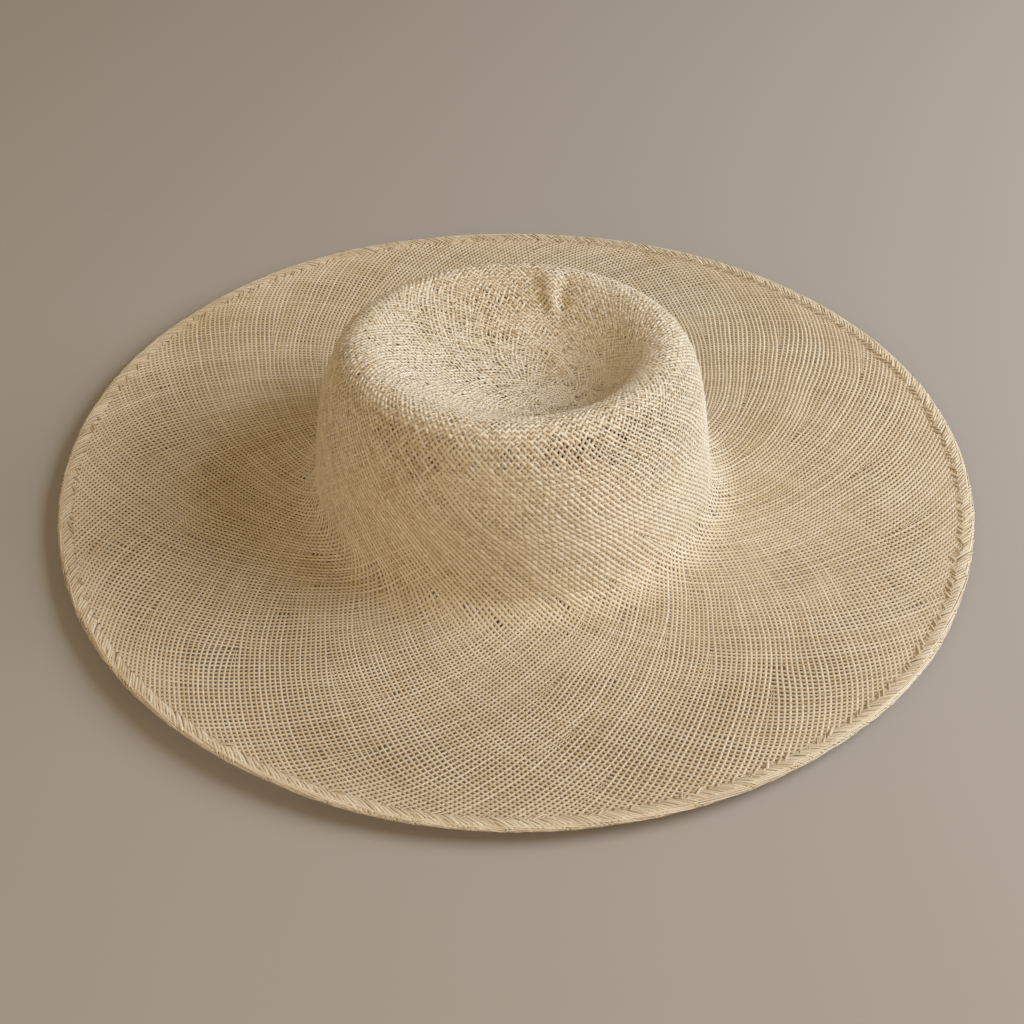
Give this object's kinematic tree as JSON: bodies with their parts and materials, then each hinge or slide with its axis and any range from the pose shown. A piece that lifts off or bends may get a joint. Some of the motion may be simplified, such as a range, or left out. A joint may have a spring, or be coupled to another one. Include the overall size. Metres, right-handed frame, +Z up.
{
  "type": "capeline, wide-brimmed woven straw hat",
  "caption": "Wide-brimmed open-weave straw hat with a basin-dented crown and a plaited border, lying on its brim",
  "frame": {"origin": "middle of the brim's outline, on the surface that the hat lies on", "axes": "+Z up through the crown, -Y towards the side shown at the front of the picture, +X to its right"},
  "size_m": [0.4401, 0.4396, 0.0898],
  "materials": {
    "straw_weave": "natural woven straw, matte with a faint sheen",
    "straw_border": "natural plaited straw, matte with a faint sheen"
  },
  "bodies": {
    "root": {"crown": "straw_weave", "brim": "straw_weave", "edge_braid": "straw_border"}
  },
  "joints": []
}
